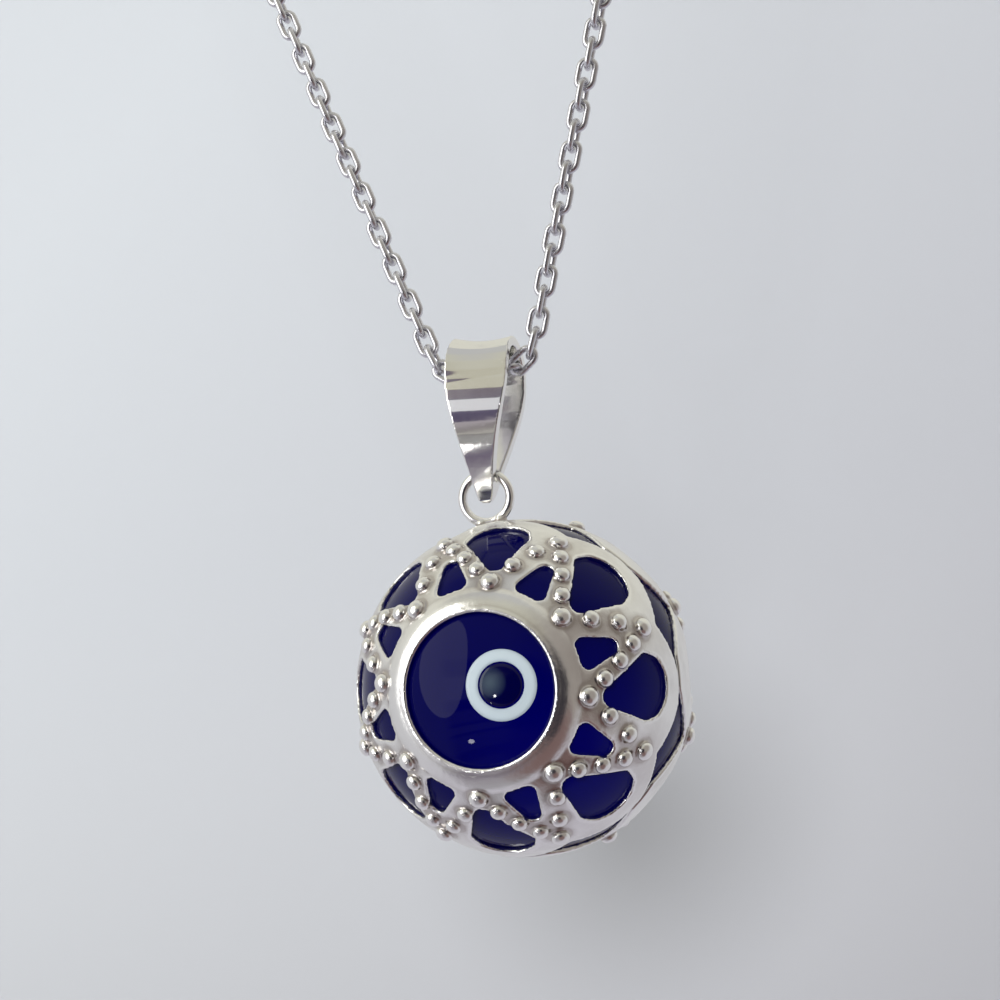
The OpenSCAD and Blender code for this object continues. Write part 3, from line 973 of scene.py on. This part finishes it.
def make_backdrop(stage):
    """A pale wall behind the pendant that runs down into the floor, painted lighter at the upper left and
    darker at the lower right as light and shade. It can't be seen from behind.
    """
    profile = [(FLOOR_FRONT, FLOOR_Z)]
    steps = 12
    for i in range(steps + 1):
        a = math.pi / 2 * i / steps
        profile.append((WALL_Y - COVE_R + COVE_R * math.sin(a), FLOOR_Z + COVE_R - COVE_R * math.cos(a)))
    profile.append((WALL_Y, BACKDROP_TOP))
    points = [(x, y, z) for y, z in profile for x in (-BACKDROP_HALF, BACKDROP_HALF)]
    faces = [(2 * i, 2 * i + 1, 2 * i + 3, 2 * i + 2) for i in range(len(profile) - 1)]
    mesh = bpy.data.meshes.new("backdrop")
    mesh.from_pydata(points, [], faces)
    mesh.shade_smooth()
    backdrop = link_object("backdrop", mesh)
    material, nodes, links, shader = new_material("Pale backdrop")
    shader.inputs["Roughness"].default_value = 0.9
    place = nodes.new("ShaderNodeTexCoord")
    # Painted light and shade: the colour runs from the shaded backdrop colour low on the right to the lit
    # one high on the left.
    rise = vector_node(nodes, links, "DOT_PRODUCT", place.outputs["Object"], PAINTED_LIGHT_WAY)
    share = range_node(nodes, links, rise, PAINTED_LIGHT_START, PAINTED_LIGHT_END)
    colour = mix_node(nodes, links, share, stage.backdrop_painted_shade, stage.backdrop)
    links.new(colour, shader.inputs["Base Color"])
    clear = nodes.new("ShaderNodeBsdfTransparent")
    behind = nodes.new("ShaderNodeNewGeometry")
    either = nodes.new("ShaderNodeMixShader")
    links.new(behind.outputs["Backfacing"], either.inputs["Fac"])
    links.new(shader.outputs["BSDF"], either.inputs[1])
    links.new(clear.outputs["BSDF"], either.inputs[2])
    links.new(either.outputs["Shader"], nodes["Material Output"].inputs["Surface"])
    mesh.materials.append(material)
    backdrop.visible_glossy = False


def ramp_node(nodes, links, value, rows):
    """The colour at a value on a ramp with the given rows of position and colour."""
    ramp = nodes.new("ShaderNodeValToRGB")
    ramp.color_ramp.interpolation = "EASE"
    stops = ramp.color_ramp.elements
    while len(stops) < len(rows):
        stops.new(1.0)
    for stop, (position, colour) in zip(stops, rows):
        stop.position = position
        stop.color = (*colour, 1)
    links.new(value, ramp.inputs["Fac"])
    return ramp.outputs["Color"]


def patch_node(nodes, links, direction, axis, spread):
    """A mask that is 1 within spread[0] of an axis and falls to 0 at spread[1]; both are cosines."""
    facing = vector_node(nodes, links, "DOT_PRODUCT", direction, Vector(axis).normalized())
    return range_node(nodes, links, facing, spread[1], spread[0], smooth=True)


def wedge_node(nodes, links, direction, azimuth, spread):
    """A mask that is 1 in an upright wedge at an azimuth from the front, and falls to 0 at spread[1]."""
    across = (math.cos(azimuth), math.sin(azimuth), 0)
    ahead = (math.sin(azimuth), -math.cos(azimuth), 0)
    aside = maths_node(nodes, links, "ABSOLUTE", vector_node(nodes, links, "DOT_PRODUCT", direction, across))
    inside = range_node(nodes, links, aside, spread[1], spread[0], smooth=True)
    facing = vector_node(nodes, links, "DOT_PRODUCT", direction, ahead)
    in_front = range_node(nodes, links, facing, 0.0, 0.1, smooth=True)
    return maths_node(nodes, links, "MULTIPLY", inside, in_front)


# What the silver mirrors, from straight below to straight above, in front of the pendant. The
# positions are shares of the height of a direction, from 0 below to 1 above.
ROOM_ROWS = [(0.0, (0.70, 0.68, 0.73)), (0.15, (0.60, 0.56, 0.62)), (0.172, (0.32, 0.27, 0.37)),
             (0.195, (0.30, 0.25, 0.36)), (0.212, (0.60, 0.58, 0.60)), (0.27, (0.64, 0.63, 0.62)),
             (0.283, (0.26, 0.23, 0.24)), (0.295, (0.85, 0.82, 0.76)), (0.318, (0.85, 0.82, 0.76)),
             (0.330, (0.30, 0.26, 0.27)), (0.35, (0.72, 0.66, 0.70)), (0.395, (0.74, 0.68, 0.73)),
             (0.415, (0.12, 0.09, 0.2)), (0.45, (0.16, 0.13, 0.25)), (0.475, (1.3, 1.3, 1.36)),
             (0.575, (1.3, 1.3, 1.36)), (0.60, (0.30, 0.28, 0.36)), (0.66, (0.28, 0.22, 0.28)),
             (0.69, (0.98, 0.94, 0.76)), (0.87, (1.08, 1.06, 0.90)), (1.0, (1.0, 1.0, 1.0))]

# What lies round those rows, by the same shares of height, and the wedge that the rows fill: its
# azimuth from the front, and the sines of its half width where it is full and where it ends.
ROOM_PLAIN = [(0.0, (1.04, 1.0, 1.12)), (0.45, (1.15, 1.15, 1.19)), (0.9, (1.40, 1.38, 1.22))]
ROWS_AZIMUTH, ROWS_SPREAD = math.radians(-8), (0.45, 0.62)

# Patches of the room. Columns: direction, cosines from it where the patch is full and where it
# ends, colour.
ROOM_PATCHES = [((0.85, -0.5, 0.15), (0.92, 0.55), (0.62, 0.56, 0.51)),
                ((0.42, -0.58, -0.70), (0.95, 0.80), (0.36, 0.23, 0.22)),
                ((0.30, -1.0, -0.12), (0.96, 0.88), (0.05, 0.045, 0.06))]


def make_room(context, stage):
    """Soft light from all around, with the darker bands and patches that polished silver mirrors."""
    world = bpy.data.worlds.new("Room")
    context.scene.world = world
    world.use_nodes = True
    nodes, links = world.node_tree.nodes, world.node_tree.links
    place = nodes.new("ShaderNodeTexCoord").outputs["Generated"]
    split = nodes.new("ShaderNodeSeparateXYZ")
    links.new(place, split.inputs["Vector"])
    height = maths_node(nodes, links, "MULTIPLY_ADD", split.outputs["Z"], 0.5, 0.5)
    colour = ramp_node(nodes, links, height, ROOM_PLAIN)
    rows = ramp_node(nodes, links, height, ROOM_ROWS)
    wedge = wedge_node(nodes, links, place, ROWS_AZIMUTH, ROWS_SPREAD)
    colour = mix_node(nodes, links, wedge, colour, rows)
    for axis, spread, shade in ROOM_PATCHES:
        colour = mix_node(nodes, links, patch_node(nodes, links, place, axis, spread), colour, shade)
    seen = nodes.new("ShaderNodeLightPath").outputs["Is Camera Ray"]
    colour = mix_node(nodes, links, seen, colour, [shade / stage.room for shade in stage.backdrop])
    background = nodes["Background"]
    background.inputs["Strength"].default_value = stage.room
    links.new(colour, background.inputs["Color"])


# The lights. Columns: name, direction from the ball, distance, width and height in metres.
LIGHTS = [("window", (-0.657, -0.73, 0.28), 0.4, (0.27, 0.46)),
          ("lamp", (0.12, -0.96, 0.22), 0.45, (0.17, 0.15)),
          ("low_sparkle", (-0.42, -0.75, -0.51), 0.4, (0.03, 0.02)),
          ("eye_sparkle", (-0.075, -0.994, -0.077), 0.4, (0.012, 0.012))]
WINDOW_COLOUR = (1.0, 0.99, 0.97)
# Power of the two sparkles as shares of the window's.
LOW_SHARE, EYE_SHARE = 0.07, 0.026


def make_lights(context, stage):
    """A large window on the left, a lamp that only matt surfaces show, and two small sparkles."""
    powers = (stage.window, stage.lamp, stage.window * LOW_SHARE, stage.window * EYE_SHARE)
    for (name, way, distance, size), power in zip(LIGHTS, powers):
        light = bpy.data.lights.new(name, "AREA")
        light.shape = "ELLIPSE"
        light.size, light.size_y = size
        light.energy = power
        light.color = WINDOW_COLOUR if name == "window" else (1, 1, 1)
        holder = bpy.data.objects.new(name, light)
        holder.location = BALL + distance * Vector(way)
        holder.rotation_mode = "QUATERNION"
        holder.rotation_quaternion = (BALL - holder.location).to_track_quat("-Z", "Y")
        holder.visible_glossy = name != "lamp"
        context.scene.collection.objects.link(holder)


# The camera, as the photograph was taken: 100 mm from the ball, a little to its right, leaning.
CAMERA_REACH = 100 * MM
CAMERA_AZIMUTH = math.radians(15.94)
CAMERA_ELEVATION = math.radians(-0.45)
CAMERA_TURN = (math.radians(96.935), math.radians(6.0), math.radians(16.83))
SENSOR_WIDTH, FOCAL_SHARE = 36.0, 1.665
CLIP_START, CLIP_END = 10 * MM, 10.0


def make_camera(context):
    """The camera at the photograph's viewing angle."""
    camera = bpy.data.cameras.new("camera")
    camera.sensor_width = SENSOR_WIDTH
    camera.lens = FOCAL_SHARE * SENSOR_WIDTH
    camera.clip_start, camera.clip_end = CLIP_START, CLIP_END
    level = math.cos(CAMERA_ELEVATION)
    back = Vector((math.sin(CAMERA_AZIMUTH) * level, -math.cos(CAMERA_AZIMUTH) * level,
                   math.sin(CAMERA_ELEVATION)))
    holder = bpy.data.objects.new("camera", camera)
    holder.location = BALL + CAMERA_REACH * back
    holder.rotation_euler = CAMERA_TURN
    context.scene.collection.objects.link(holder)
    context.scene.camera = holder
    context.scene.view_settings.view_transform = "Standard"


class PendantSettings(PropertyGroup):
    """All the settings of the pendant."""

    silver: PointerProperty(type=SilverSettings, name="Silver", description="Settings of the silver")
    glass: PointerProperty(type=GlassSettings, name="Glass", description="Settings of the glass")
    chain: PointerProperty(type=ChainSettings, name="Chain", description="Settings of the chain")
    stage: PointerProperty(type=StageSettings, name="Stage", description="Settings of the stage")


STEPS = (PENDANT_OT_cups, PENDANT_OT_ring, PENDANT_OT_glass, PENDANT_OT_eyes, PENDANT_OT_bail,
         PENDANT_OT_chain, PENDANT_OT_clasp, PENDANT_OT_stage)


class PENDANT_PT_sidebar(Panel):
    """Lists the pendant's pieces and settings"""

    bl_idname = "PENDANT_PT_sidebar"
    bl_label = "Evil eye pendant"
    bl_space_type = "VIEW_3D"
    bl_region_type = "UI"
    bl_category = "Pendant"

    def draw(self, context):
        groups = settings(context)
        for step in STEPS:
            self.layout.operator(step.bl_idname)
        for group in (groups.silver, groups.glass, groups.chain, groups.stage):
            column = self.layout.column(heading=group.bl_rna.name)
            for key in group.__annotations__:
                column.prop(group, key)


CLASSES = (SilverSettings, GlassSettings, ChainSettings, StageSettings, PendantSettings, *STEPS,
           PENDANT_PT_sidebar)


def register():
    """Register the classes and hang the settings on the scene."""
    for cls in CLASSES:
        bpy.utils.register_class(cls)
    bpy.types.Scene.pendant = PointerProperty(type=PendantSettings)


def unregister():
    """Take the settings off the scene and unregister the classes."""
    del bpy.types.Scene.pendant
    for cls in reversed(CLASSES):
        bpy.utils.unregister_class(cls)


def main():
    register()
    bpy.ops.pendant.cups()
    bpy.ops.pendant.ring()
    bpy.ops.pendant.glass()
    bpy.ops.pendant.eyes()
    bpy.ops.pendant.bail()
    bpy.ops.pendant.chain()
    bpy.ops.pendant.clasp()
    bpy.ops.pendant.stage()


if __name__ == "__main__":
    main()
